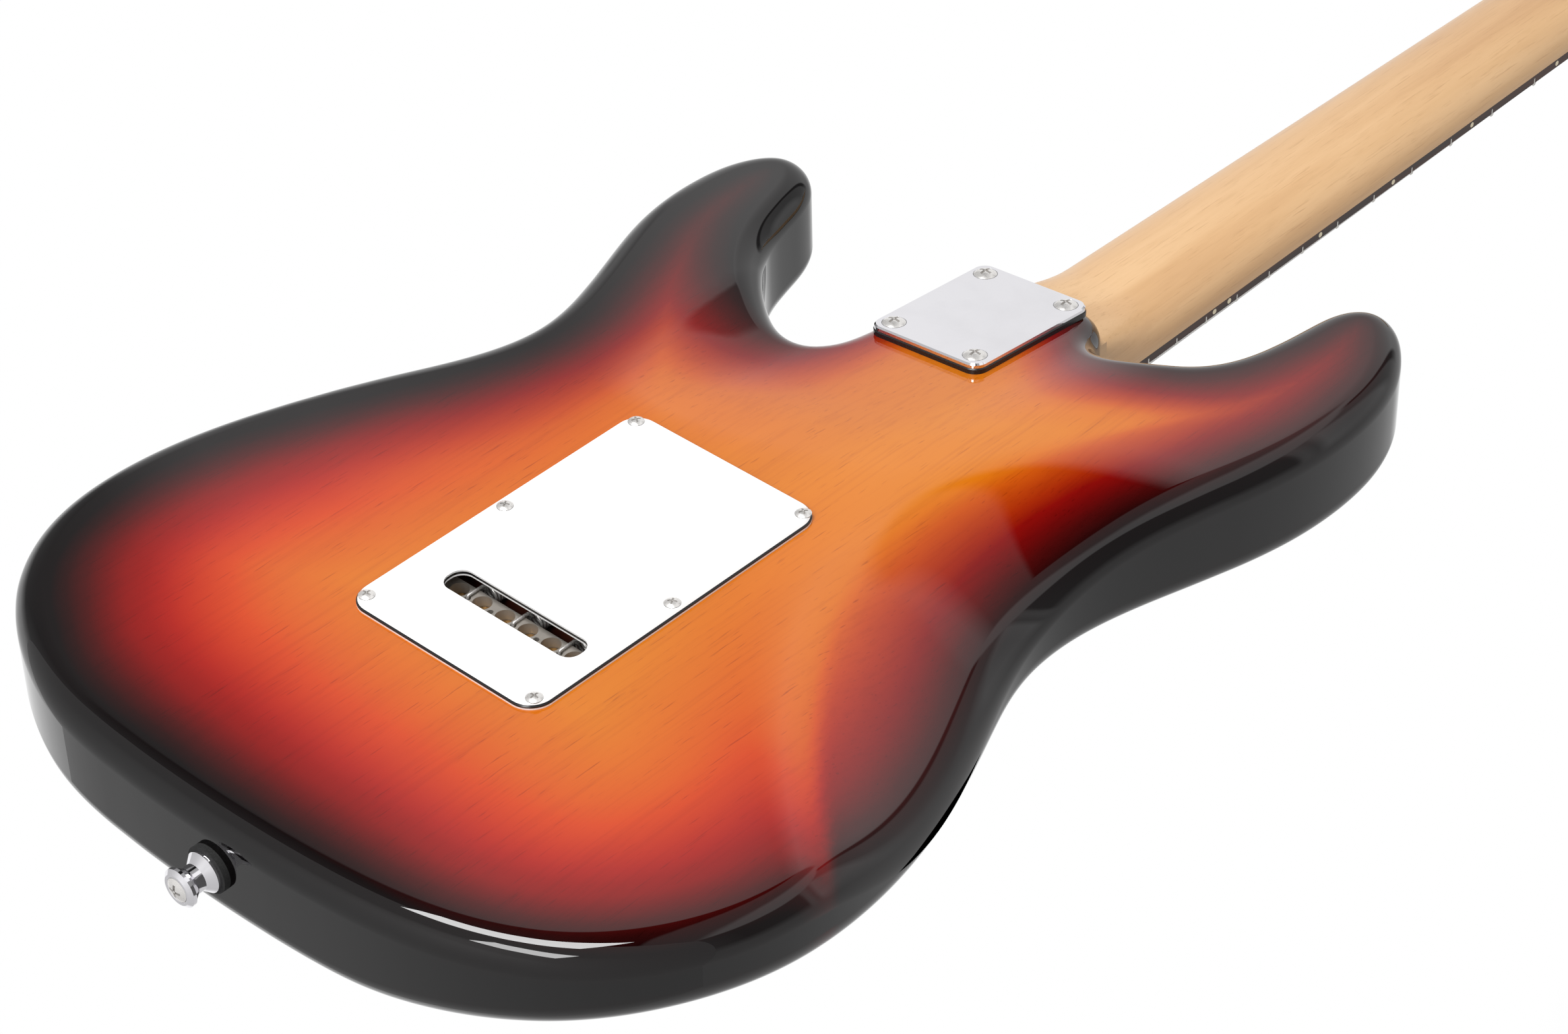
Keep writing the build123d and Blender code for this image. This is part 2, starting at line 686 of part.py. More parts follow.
def make_arm():
    stem = [(arm_place[0], arm_place[1], -18), (arm_place[0], arm_place[1], 24), (arm_place[0] + 6, 6, 38),
            (arm_place[0] + 12, 120, 44)]
    with BuildPart() as arm:
        with BuildLine():
            FilletPolyline(*stem, radius=12)
        with BuildSketch(Plane(origin=stem[0], z_dir=(0, 0, 1))):
            Circle(2.5)
        sweep()
    return arm.part


def make_arm_tip():
    way = Vector(6, 114, 6).normalized()
    base = Vector(arm_place[0] + 12, 120, 44)
    tip = Cylinder(3.4, 20) - Pos(0, 0, -6) * Cylinder(2.5, 8.2)
    tip = fillet(tip.faces().sort_by(Axis.Z)[-1].edges(), 3.0)
    return Plane(origin=base + way * 8.0, z_dir=way) * tip


def make_springs():
    springs = []
    length = claw_y - 8.0
    for x in spring_rows:
        tube = Cylinder(spring_radius, length - 3) - Cylinder(spring_radius - spring_wire, length)
        tube = Pos(x, (length - 3) / 2 - 2.0, spring_axis_z) * Rot(90, 0, 0) * tube
        top = spring_axis_z - spring_radius + 0.55
        corners = [(x, -1.8, top), (x, -6.0, block_bottom - 1.0), (x, spring_hook_y, block_bottom - 1.0),
                   (x, spring_hook_y, block_bottom + 3.0)]
        spring = tube + rod_between((x, length - 5.6, top), (x, claw_y - 1.8, spring_axis_z - 1.55), 0.55)
        for start, end in zip(corners, corners[1:]):
            spring += rod_between(start, end, 0.55) + Pos(*start) * Sphere(0.55)
        springs.append(spring)
    return springs


def make_claw():
    claw = block((-27, 27), (claw_y, claw_y + 2.0), (-41.5, -30.0))
    for x in spring_rows:
        claw += block((x - 2, x + 2), (claw_y - 3.5, claw_y), (spring_axis_z - 1.0, spring_axis_z + 0.6))
    for x in claw_screw_spots:
        claw -= Pos(x, claw_y, claw_screw_z) * Rot(90, 0, 0) * Cylinder(2.2, 10)
    return claw


def make_claw_screws():
    screw = Rot(90, 0, 0) * pan_screw(4.0, 2.4, 1.7, 36.0)
    return [Pos(x, claw_y, claw_screw_z) * screw for x in claw_screw_spots]


# ---------------------------------------------------------------- front plate and electrics
guard_outline = [
    (-46, 222), (-60, 219), (-72, 226), (-80, 236), (-88, 238), (-96, 224), (-97, 196), (-86, 160), (-72, 120),
    (-62, 80), (-55, 45), (-50, 20), (-44, 17.5), (0, 17.5), (44, 17.5), (49, 8), (54, -22), (64, -54),
    (76, -72), (92, -74), (103, -58), (108, -28), (107, 5), (101, 45), (97, 80), (98, 112), (105, 146),
    (114, 178), (118, 204), (111, 214), (99, 203), (86, 180), (70, 163), (50, 157), (32, 160), (20, 176),
    (0, 178), (-20, 178), (-34, 186), (-37, 204),
]
guard_screw_spots = [
    (-42, 205), (-84, 226), (-88, 180), (-62, 102), (-46.5, 22.3), (50.5, 22), (61.5, -34), (84, -68), (101, -10),
    (95.5, 48), (93, 96), (107, 190), (56, 150),
]
jack_screw_spots = (-25, 25)


def pickup_frame(index):
    tilt = bridge_pickup_angle if index == 2 else 0.0
    return Pos(0, pickup_rows[index], 0) * Rot(0, 0, tilt)


def make_guard():
    guard = prism(smooth_outline(guard_outline), 0, guard_thickness)
    guard = chamfer([edge for edge in guard.edges() if edge.length > 400 and edge.center().Z > 1], guard_edge)
    guard -= prism(neck_trapezoid(0.6), -5, 10)
    for index in range(3):
        window = Rectangle(pickup_length + 0.8, pickup_width + 0.8)
        window = extrude(fillet(window.vertices(), 8.8), 20)
        guard -= pickup_frame(index) * Pos(0, 0, -5) * window
        for x in pickup_screw_spots:
            guard -= pickup_frame(index) * cylinder(1.5, -5, 10, x)
    for x, y in knob_places.values():
        guard -= cylinder(4.9, -5, 10, x, y)
    guard -= selector_frame() * block((-14, 14), (-1.6, 1.6), (-5, 10))
    for x in selector_screw_spots:
        guard -= selector_frame() * cylinder(1.5, -5, 10, x)
    for x, y in guard_screw_spots:
        guard -= cylinder(trim_screw_hole, -5, 10, x, y)
        guard -= Pos(x, y, guard_thickness - 0.9) * Cone(trim_screw_hole, 3.0, 1.8)
    return guard


def make_front_screws():
    screw = oval_screw(2.8, 0.9, 1.4, trim_screw_hole, 12.0)
    screws = [Pos(x, y, guard_thickness) * Rot(0, 0, 25 * index) * screw
              for index, (x, y) in enumerate(guard_screw_spots)]
    return screws + [jack_frame * Pos(x, 0, jack_plate_thickness) * screw for x in jack_screw_spots]


def make_pickup_covers():
    covers = []
    for index in range(3):
        shell = Rectangle(pickup_length, pickup_width)
        shell = extrude(fillet(shell.vertices(), 8.4), pickup_cover_depth)
        shell = fillet(shell.faces().sort_by(Axis.Z)[-1].outer_wire().edges(), 1.2)
        hollow = offset(Rectangle(pickup_length - 14, 3.0), 6.2)
        shell -= Pos(0, 0, -1.5) * extrude(hollow, pickup_cover_depth)
        for pole in range(string_count):
            shell -= cylinder(2.55, -5, 20, string_x(pole, pole_spread(index)))
        base = guard_thickness + pickup_height - pickup_cover_depth
        covers.append(pickup_frame(index) * Pos(0, 0, base) * shell)
    return covers


def pole_spread(index):
    share = pickup_rows[index] / scale_length
    spread = saddle_string_spread + (nut_string_spread - saddle_string_spread) * share
    return spread / cos(radians(bridge_pickup_angle)) if index == 2 else spread


def make_bobbins():
    top = guard_thickness + pickup_height - 1.6
    bobbins = []
    for index in range(3):
        flange = extrude(offset(Rectangle(pickup_length - 16, 2.6), 5.4), 1.4)
        coil = extrude(offset(Rectangle(pickup_length - 20, 1.4), 3.8), 9.0)
        base = Rectangle(84, 16)
        base = extrude(fillet(base.vertices(), 7.6), 1.6)
        bobbin = Pos(0, 0, top - 1.4) * flange + Pos(0, 0, top - 10.4) * coil + Pos(0, 0, top - 12.0) * base
        for pole in range(string_count):
            bobbin -= cylinder(2.45, -40, 20, string_x(pole, pole_spread(index)))
        for x in pickup_screw_spots:
            bobbin -= cylinder(1.4, -40, 20, x)
        bobbins.append(pickup_frame(index) * bobbin)
    return bobbins


def make_poles():
    top = guard_thickness + pickup_height
    poles = []
    for index in range(3):
        for pole in range(string_count):
            rise = (0.4, 0.7, 1.1, 0.9, 0.3, 0.6)[pole]
            slug = cylinder(2.4, top - 16, top + rise, string_x(pole, pole_spread(index)))
            poles.append(pickup_frame(index) * slug)
    return poles


def make_machine_screws():
    screw = pan_screw(2.6, 1.5, 1.35, 13.0)
    screws = [pickup_frame(index) * Pos(x, 0, guard_thickness) * screw
              for index in range(3) for x in pickup_screw_spots]
    return screws + [selector_frame() * Pos(x, 0, guard_thickness) * screw for x in selector_screw_spots]


def make_knob():
    """A skirted knob and the split shaft pressed into it, on the axis of its control."""
    low = guard_thickness + 2.6
    knob = revolve_profile([(0, low + 2), (0, low + 13.5), (7.6, low + 13.5), (8.6, low + 12.7), (9.0, low + 4.4),
                            (12.4, low + 1.2), (12.4, low), (6, low), (6, low + 2)])
    for step in range(24):
        knob -= Rot(0, 0, 15 * step) * Pos(9.35, 0, low + 9.2) * Box(0.9, 0.8, 9.5)
    knob -= Pos(0, 10.9, low + 1.9) * Rot(-49, 0, 0) * Box(0.8, 3.4, 0.5)
    knob -= cylinder(3.0, low - 1, low + 10)
    shaft = cylinder(3.0, guard_thickness - 12.0, low + 9.9)
    return knob, shaft


def make_pots():
    pots = []
    for x, y in knob_places.values():
        can = cylinder(pot_radius, -12.0, -0.6) + cylinder(4.6, -0.6, guard_thickness + 2.2)
        can += cylinder(6.2, guard_thickness + 0.1, guard_thickness + 2.2)
        pots.append(Pos(x, y, 0) * (can - cylinder(3.06, -10.5, 20)))
    return pots


selector_pivot_z = -9.0
selector_screw_spots = (-20.6, 20.6)


def selector_frame():
    return Pos(*selector_place) * Rot(0, 0, selector_angle)


def make_selector_switch():
    frame = block((-25, 25), (-5.5, 5.5), (-1.6, 0)) - block((-14, 14), (-1.6, 1.6), (-5, 5))
    for side in (-1, 1):
        wall = block((-17, 17), (side * 4.3 - 0.8, side * 4.3 + 0.8), (-26, -1.6))
        frame += wall
    frame += Pos(0, 0, selector_pivot_z) * Rot(90, 0, 0) * Cylinder(1.2, 9.4)
    for x in selector_screw_spots:
        frame -= cylinder(1.4, -20, 20, x)
    return selector_frame() * frame


def make_selector_lever():
    lever = block((-2.2, 2.2), (-0.9, 0.9), (-18, guard_thickness + 12))
    lever += Pos(0, 0, selector_pivot_z) * Rot(90, 0, 0) * Cylinder(4.4, 1.8)
    lever -= Pos(0, 0, selector_pivot_z) * Rot(90, 0, 0) * Cylinder(1.26, 10)
    return selector_frame() * lever


def make_selector_tip():
    tip = Pos(0, 0, guard_thickness + 12) * Box(6.4, 4.4, 9.0)
    tip = fillet(tip.edges(), 1.4)
    return selector_frame() * (tip - block((-2.2, 2.2), (-0.9, 0.9), (0, guard_thickness + 12)))


jack_plate_thickness = 1.5
jack_cup_depth = 13.0


def make_jack_plate():
    plate = extrude(SlotOverall(62, 26), jack_plate_thickness)
    cup = Pos(0, 0, -jack_cup_depth) * extrude(SlotOverall(36, 18), jack_cup_depth + jack_plate_thickness)
    hollow = Pos(0, 0, 1.2 - jack_cup_depth) * extrude(SlotOverall(33.6, 15.6), jack_cup_depth + 5)
    plate = chamfer(plate.faces().sort_by(Axis.Z)[-1].outer_wire().edges(), 0.7) + cup - hollow
    for x in jack_screw_spots:
        plate -= cylinder(trim_screw_hole + 0.1, -5, 5, x)
        plate -= Pos(x, 0, jack_plate_thickness - 0.7) * Cone(trim_screw_hole, 2.9, 1.4)
    return jack_frame * (plate - cylinder(4.8, -20, 5))


def make_jack_socket():
    floor = 1.2 - jack_cup_depth
    barrel = cylinder(4.7, -24, floor + 3.0)
    barrel += cylinder(6.4, floor, floor + 2.0)
    barrel += cylinder(8.0, -24, floor - 1.4)
    return jack_frame * (barrel - cylinder(jack_plug_radius, -23, 10))


# ---------------------------------------------------------------- strap buttons
tail_button = Pos(0, -145.3, -body_thickness / 2) * Rot(90, 0, 0)
horn_button = Plane(origin=(-103.5, 310.6, -body_thickness / 2), z_dir=(0.617, 0.786, 0)).location
strap_screw_hole = 1.8
washer_thickness = 2.2
washer_radius = 8.6
washer_sink = 1.2


def make_strap_button():
    return revolve_profile([(2.0, washer_thickness), (7.4, washer_thickness), (7.4, 3.6), (4.9, 6.4), (4.9, 9.4),
                            (7.0, 12.0), (7.0, 13.2), (5.6, 14.4), (4.6, 14.4), (2.0, 12.0)])


def make_strap_washer():
    return cylinder(washer_radius, -washer_sink, washer_thickness) - cylinder(2.0, -5, 5)


def make_strap_screw():
    return Pos(0, 0, 14.3) * oval_screw(4.4, 1.2, 2.4, strap_screw_hole, 42.0)


# ---------------------------------------------------------------- build and save
dots = dot_solids()
save("body", make_body())
save("neck", make_neck())
save("fretboard", make_fretboard(dots))
save("frets", *make_frets())
save("inlay_dots", *dots)
save("nut", make_nut())
save("truss_rod", *make_truss_rod())
save("string_trees", *make_string_trees())
save("neck_plate", make_neck_plate())
save("neck_plate_gasket", make_gasket())
save("neck_screws", *make_neck_screws())
save("back_cover", make_back_cover())
save("back_cover_screws", *make_cover_screws())
save("pickguard", make_guard())
save("front_screws", *make_front_screws())
save("pickup_covers", *make_pickup_covers())
save("pickup_bobbins", *make_bobbins())
save("pole_pieces", *make_poles())
save("machine_screws", *make_machine_screws())
for knob_name, (knob_x, knob_y) in knob_places.items():
    save(knob_name, *[Pos(knob_x, knob_y, 0) * piece for piece in make_knob()])
save("pots", *make_pots())
save("selector_switch", make_selector_switch())
save("selector_lever", make_selector_lever())
save("selector_tip", make_selector_tip())
save("jack_plate", make_jack_plate())
save("jack_socket", make_jack_socket())
save("strap_buttons", *[place * make_strap_button() for place in (tail_button, horn_button)])
save("strap_washers", *[place * make_strap_washer() for place in (tail_button, horn_button)])
save("strap_screws", *[place * make_strap_screw() for place in (tail_button, horn_button)])
save("bridge_plate", make_bridge_plate())
save("inertia_block", make_inertia_block())
save("pivot_screws", *make_pivot_screws())
save("saddles", *make_saddles())
save("saddle_screws", *make_saddle_screws())
save("intonation_screws", *make_intonation_screws())
save("intonation_springs", *make_intonation_springs())
save("vibrato_arm", make_arm())
save("vibrato_arm_tip", make_arm_tip())
save("vibrato_springs", *make_springs())
save("spring_claw", make_claw())
save("claw_screws", *make_claw_screws())
save("ball_ends", *make_ball_ends())
save("strings_wound", *[make_string(index) for index in range(3)])
save("strings_plain", *[make_string(index) for index in range(3, 6)])
save("tuner_housings", *[tuner_spot(index) * make_tuner_housing() for index in range(string_count)])
save("tuner_bushings", *[tuner_spot(index) * make_tuner_bushing() for index in range(string_count)])
for index in range(string_count):
    save(f"tuner_post_{index + 1}", tuner_spot(index) * make_tuner_post())
    save(f"tuner_button_{index + 1}", tuner_spot(index) * make_tuner_button())
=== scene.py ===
import json
import math

import bpy
import numpy as np
from mathutils import Matrix, Vector
from mathutils.geometry import delaunay_2d_cdt


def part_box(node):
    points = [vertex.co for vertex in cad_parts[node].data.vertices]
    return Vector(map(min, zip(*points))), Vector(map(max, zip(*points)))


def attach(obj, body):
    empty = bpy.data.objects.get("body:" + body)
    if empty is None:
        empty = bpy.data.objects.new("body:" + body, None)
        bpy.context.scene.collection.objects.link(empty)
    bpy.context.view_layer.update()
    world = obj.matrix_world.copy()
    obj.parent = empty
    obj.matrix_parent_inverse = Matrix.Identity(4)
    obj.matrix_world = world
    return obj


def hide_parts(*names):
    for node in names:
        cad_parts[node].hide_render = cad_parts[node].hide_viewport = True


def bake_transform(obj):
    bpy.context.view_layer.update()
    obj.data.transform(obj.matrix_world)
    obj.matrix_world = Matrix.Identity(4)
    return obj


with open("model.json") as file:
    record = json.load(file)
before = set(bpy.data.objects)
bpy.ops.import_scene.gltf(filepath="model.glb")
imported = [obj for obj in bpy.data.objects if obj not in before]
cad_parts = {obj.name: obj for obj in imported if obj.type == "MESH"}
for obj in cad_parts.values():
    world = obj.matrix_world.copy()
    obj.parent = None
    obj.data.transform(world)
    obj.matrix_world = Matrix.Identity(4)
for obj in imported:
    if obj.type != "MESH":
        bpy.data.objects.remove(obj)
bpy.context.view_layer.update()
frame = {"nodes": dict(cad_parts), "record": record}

NODES = frame["nodes"]

# Lengths in metres, in the row frame: +X treble, +Y out of the back, +Z up the neck.
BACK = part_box("body")[1][1]
SCALE = 0.648  # saddle line to nut
EDGE = 0.0105  # radius of the body's rolled edge


# ---------------------------------------------------------------- materials
def node(tree, kind, **values):
    made = tree.nodes.new(kind)
    for key, value in values.items():
        if key in made.inputs:
            made.inputs[key].default_value = value
        else:
            setattr(made, key, value)
    return made


class Paint:
    """A small wrapper that builds one procedural material."""

    def __init__(self, name, **constants):
        self.material = bpy.data.materials.new(name)
        self.material.use_nodes = True
        self.tree = self.material.node_tree
        self.shader = self.tree.nodes["Principled BSDF"]
        for key, value in constants.items():
            self.shader.inputs[key.replace("_", " ")].default_value = value
        self.place = self.tree.nodes.new("ShaderNodeTexCoord").outputs["Object"]

    def link(self, start, end):
        self.tree.links.new(start, end)

    def stretched(self, scale):
        mapping = node(self.tree, "ShaderNodeMapping")
        mapping.inputs["Scale"].default_value = scale
        self.link(self.place, mapping.inputs["Vector"])
        return mapping.outputs[0]

    def noise(self, scale, detail=4.0, roughness=0.55, distortion=0.0):
        made = node(self.tree, "ShaderNodeTexNoise", Scale=1.0, Detail=detail, Roughness=roughness,
                    Distortion=distortion)
        self.link(self.stretched(scale), made.inputs["Vector"])
        return made.outputs["Fac"]

    def remap(self, value, low, high, to_low=0.0, to_high=1.0):
        made = node(self.tree, "ShaderNodeMapRange")
        for index, number in zip((1, 2, 3, 4), (low, high, to_low, to_high)):
            made.inputs[index].default_value = number
        self.link(value, made.inputs[0])
        return made.outputs[0]

    def ramp(self, value, stops):
        made = self.tree.nodes.new("ShaderNodeValToRGB")
        elements = made.color_ramp.elements
        while len(elements) < len(stops):
            elements.new(0.5)
        for element, (place, colour) in zip(elements, stops):
            element.position = place
            element.color = (*colour, 1.0)
        self.link(value, made.inputs[0])
        return made.outputs[0]

    def mix(self, amount, first, second, blend="MIX"):
        made = self.tree.nodes.new("ShaderNodeMix")
        made.data_type = "RGBA"
        made.blend_type = blend
        for socket, value in ((made.inputs[0], amount), (made.inputs[6], first), (made.inputs[7], second)):
            if isinstance(value, (int, float)):
                socket.default_value = value
            elif isinstance(value, tuple):
                socket.default_value = (*value, 1.0)
            else:
                self.link(value, socket)
        return made.outputs[2]

    def bump(self, height, strength, distance):
        made = node(self.tree, "ShaderNodeBump", Strength=strength, Distance=distance)
        self.link(height, made.inputs["Height"])
        self.link(made.outputs[0], self.shader.inputs["Normal"])

    def colour(self, source):
        self.link(source, self.shader.inputs["Base Color"])

    def rough(self, source):
        self.link(source, self.shader.inputs["Roughness"])


def metal(name, colour, rough_low, rough_high, bump=0.02, dull=0.82, metallic=1.0):
    """Plated or bare metal: faint tarnish in patches, and fine handling marks in the roughness."""
    paint = Paint(name, Metallic=metallic)
    patches = paint.noise((60, 60, 60), 5)
    marks = paint.noise((900, 900, 900), 3)
    dulled = tuple(channel * dull for channel in colour)
    paint.colour(paint.mix(paint.remap(patches, 0.45, 0.8), colour, dulled))
    paint.rough(paint.remap(marks, 0.3, 0.75, rough_low, rough_high))
    paint.bump(marks, bump, 0.0002)
    return paint.material


def plastic(name, colour, rough, bump=0.04):
    """Moulded plastic with slight clouding and a fine surface texture."""
    paint = Paint(name, IOR=1.5)
    cloud = paint.noise((45, 45, 45), 4)
    clouded = tuple(channel * 0.93 for channel in colour)
    paint.colour(paint.mix(paint.remap(cloud, 0.35, 0.8), colour, clouded))
    grain = paint.noise((1800, 1800, 1800), 3)
    paint.rough(paint.remap(grain, 0.3, 0.7, rough * 0.85, rough * 1.2))
    paint.bump(grain, bump, 0.0001)
    return paint.material


def laminate(name, low, high):
    """White, black and white sheet, seen in the bevelled edge by its depth along Y."""
    paint = Paint(name, IOR=1.49)
    split = node(paint.tree, "ShaderNodeSeparateXYZ")
    paint.link(paint.place, split.inputs[0])
    depth = paint.remap(split.outputs["Y"], low, high)
    white, black = (0.88, 0.875, 0.87), (0.008, 0.008, 0.009)
    plies = paint.ramp(depth, [
        (0.0, white), (0.27, white), (0.28, black), (0.70, black), (0.71, white), (1.0, white)])
    cloud = paint.noise((25, 25, 25), 3)
    paint.colour(paint.mix(paint.remap(cloud, 0.5, 0.9, 0.0, 0.12), plies, (0.6, 0.58, 0.53), "MULTIPLY"))
    scuffs = paint.noise((220, 30, 700), 5)
    paint.rough(paint.remap(scuffs, 0.3, 0.8, 0.16, 0.30))
    paint.bump(scuffs, 0.02, 0.0001)
    return paint.material


def maple(name):
    """Clear-lacquered maple: long soft bands, short darker pores and flecks along the neck."""
    paint = Paint(name, IOR=1.5, Coat_Weight=0.25, Coat_Roughness=0.16, Coat_IOR=1.5)
    bands = paint.noise((55, 55, 3.5), 6, 0.6, 0.5)
    base = paint.ramp(bands, [
        (0.30, (0.60, 0.335, 0.150)), (0.52, (0.70, 0.425, 0.205)), (0.75, (0.78, 0.505, 0.265))])
    pores = paint.noise((1500, 1500, 60), 3, 0.6)
    flecks = paint.noise((420, 420, 55), 4, 0.6)
    toned = paint.mix(paint.remap(pores, 0.58, 0.74, 0.0, 0.55), base, (0.48, 0.24, 0.10))
    paint.colour(paint.mix(paint.remap(flecks, 0.56, 0.78, 0.0, 0.35), toned, (0.55, 0.30, 0.13)))
    paint.rough(paint.remap(bands, 0.3, 0.7, 0.34, 0.44))
    paint.bump(pores, 0.06, 0.0002)
    return paint.material


def rosewood(name):
    """Oiled rosewood: dark brown bands with open pores along the board."""
    paint = Paint(name, IOR=1.48)
    bands = paint.noise((260, 260, 12), 6, 0.6, 0.4)
    base = paint.ramp(bands, [
        (0.30, (0.016, 0.007, 0.005)), (0.5, (0.045, 0.018, 0.012)), (0.75, (0.085, 0.034, 0.020))])
    pores = paint.noise((2400, 2400, 90), 3)
    paint.colour(paint.mix(paint.remap(pores, 0.58, 0.7, 0.0, 0.8), base, (0.008, 0.004, 0.003)))
    paint.rough(paint.remap(bands, 0.3, 0.7, 0.38, 0.52))
    paint.bump(pores, 0.15, 0.0002)
    return paint.material


# The burst's tones, as millimetres in from the rim and a colour. The tail's amber is redder than the neck's.
BURST_REACH = 0.12
BURST_WOBBLE = 0.015
TONE_CHANGE = (-0.66, -0.52)  # the stretch of Z where the tail's tones turn into the neck's
BURST_RIM = [
    (0, (0.0015, 0.0010, 0.0012)), (9, (0.003, 0.0010, 0.0012)), (14, (0.018, 0.0015, 0.0015)),
    (20, (0.055, 0.002, 0.002)), (26, (0.120, 0.002, 0.002)), (32, (0.20, 0.003, 0.002)),
]
TAIL_BURST = BURST_RIM + [
    (38, (0.25, 0.004, 0.002)), (44, (0.32, 0.008, 0.003)), (50, (0.385, 0.016, 0.003)),
    (56, (0.44, 0.027, 0.003)), (65, (0.51, 0.045, 0.003)), (76, (0.53, 0.078, 0.003)),
    (90, (0.55, 0.112, 0.004)), (112, (0.57, 0.158, 0.005)),
]
NECK_BURST = BURST_RIM + [
    (38, (0.31, 0.020, 0.002)), (44, (0.40, 0.045, 0.003)), (50, (0.50, 0.080, 0.004)),
    (56, (0.56, 0.125, 0.005)), (65, (0.60, 0.155, 0.006)), (90, (0.62, 0.185, 0.007)),
]


def sunburst(name):
    """Three-tone burst under gloss lacquer: the colour follows the distance from the rim, stretched along the
    waist ridge so that a painted highlight shows there.
    """
    paint = Paint(name, IOR=1.5, Coat_Weight=1.0, Coat_Roughness=0.012, Coat_IOR=1.52)
    paint.shader.inputs["Specular IOR Level"].default_value = 0.0
    rim = node(paint.tree, "ShaderNodeAttribute", attribute_name="rim").outputs["Fac"]
    drift = paint.noise((9, 9, 9), 3)
    wobble = node(paint.tree, "ShaderNodeMath", operation="MULTIPLY_ADD")
    paint.link(paint.remap(drift, 0.3, 0.7, -1.0, 1.0), wobble.inputs[0])
    wobble.inputs[1].default_value = BURST_WOBBLE
    paint.link(paint.remap(rim, 0.0, BURST_REACH), wobble.inputs[2])
    tail_tone, neck_tone = (
        paint.ramp(wobble.outputs[0], [(distance / 1000 / BURST_REACH, colour) for distance, colour in stops])
        for stops in (TAIL_BURST, NECK_BURST))
    split = node(paint.tree, "ShaderNodeSeparateXYZ")
    paint.link(paint.place, split.inputs[0])
    burst = paint.mix(paint.remap(split.outputs["Z"], *TONE_CHANGE), tail_tone, neck_tone)
    figure = paint.noise((16, 16, 2.6), 5, 0.6, 0.6)
    grained = paint.mix(paint.remap(figure, 0.38, 0.66, 0.0, 0.22), burst, (0.70, 0.48, 0.40), "MULTIPLY")
    fine = paint.noise((620, 620, 16), 4, 0.6)
    grained = paint.mix(paint.remap(fine, 0.50, 0.72, 0.0, 0.25), grained, (0.62, 0.42, 0.35), "MULTIPLY")
    pores = paint.noise((1900, 1900, 75), 2, 0.5)
    grained = paint.mix(paint.remap(pores, 0.66, 0.72, 0.0, 0.50), grained, (0.42, 0.22, 0.16), "MULTIPLY")
    paint.colour(grained)
    paint.rough(paint.remap(fine, 0.3, 0.7, 0.42, 0.52))
    return paint.material


def dark_cavity(name):
    """The dark red-brown stain inside the spring cavity, brushed on unevenly."""
    paint = Paint(name, IOR=1.45)
    cloud = paint.noise((70, 70, 12), 5, 0.6)
    paint.colour(paint.ramp(cloud, [(0.3, (0.035, 0.008, 0.005)), (0.7, (0.13, 0.030, 0.014))]))
    paint.rough(paint.remap(cloud, 0.3, 0.7, 0.35, 0.6))
    paint.bump(cloud, 0.2, 0.0006)
    return paint.material


COVER_LOW, COVER_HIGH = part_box("back_cover")
GUARD_LOW, GUARD_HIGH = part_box("pickguard")
PAINTS = {
    "body_finish": sunburst("sunburst_lacquer"),
    "maple": maple("lacquered_maple"),
    "rosewood": rosewood("oiled_rosewood"),
    "fret_metal": metal("fret_nickel", (0.72, 0.70, 0.66), 0.16, 0.30),
    "cream_plastic": plastic("cream_inlay", (0.80, 0.70, 0.50), 0.30),
    "bone": plastic("polished_bone", (0.80, 0.75, 0.62), 0.28),
    "steel": metal("plain_steel", (0.52, 0.51, 0.50), 0.28, 0.45, bump=0.06),
    "chrome": metal("bright_chrome", (0.84, 0.83, 0.86), 0.03, 0.07, bump=0.004, dull=0.95),
    "nickel": metal("nickel_plate", (0.76, 0.74, 0.72), 0.22, 0.34, bump=0.03, metallic=0.6),
    "black_plastic": plastic("black_moulding", (0.008, 0.008, 0.009), 0.28),
    "three_ply": laminate("back_cover_plies", COVER_LOW[1], COVER_HIGH[1]),
    "white_plastic": plastic("white_moulding", (0.84, 0.83, 0.80), 0.26),
    "satin_steel": metal("satin_plate", (0.58, 0.54, 0.49), 0.34, 0.50, bump=0.06, metallic=0.6),
    # The brass ball ends sit recessed in the block. Their base colour is darkened as painted shade, on top of
    # real tarnish in patches.
    "brass": metal("worn_brass_painted_shade", (0.42, 0.25, 0.10), 0.22, 0.4, dull=0.6),
    "felt": plastic("black_felt", (0.012, 0.012, 0.012), 0.9, bump=0.4),
    "alnico": metal("ground_magnet", (0.42, 0.42, 0.43), 0.34, 0.5, bump=0.08),
}
SLOTS = {part["node"]: part["material_slot"] for part in frame["record"]["subparts"]}
for name, obj in NODES.items():
    obj.data.materials.clear()
    obj.data.materials.append(PAINTS[SLOTS[name]])
NODES["pickguard"].data.materials[0] = laminate("pickguard_plies", GUARD_HIGH[1], GUARD_LOW[1])


# ---------------------------------------------------------------- the body, skinned in gloss lacquer
def mesh_arrays(obj):
    mesh = obj.data
    points = np.empty(len(mesh.vertices) * 3)
    mesh.vertices.foreach_get("co", points)
    mesh.calc_loop_triangles()
    corners = np.empty(len(mesh.loop_triangles) * 3, int)
    mesh.loop_triangles.foreach_get("vertices", corners)
    return points.reshape(-1, 3), corners.reshape(-1, 3)


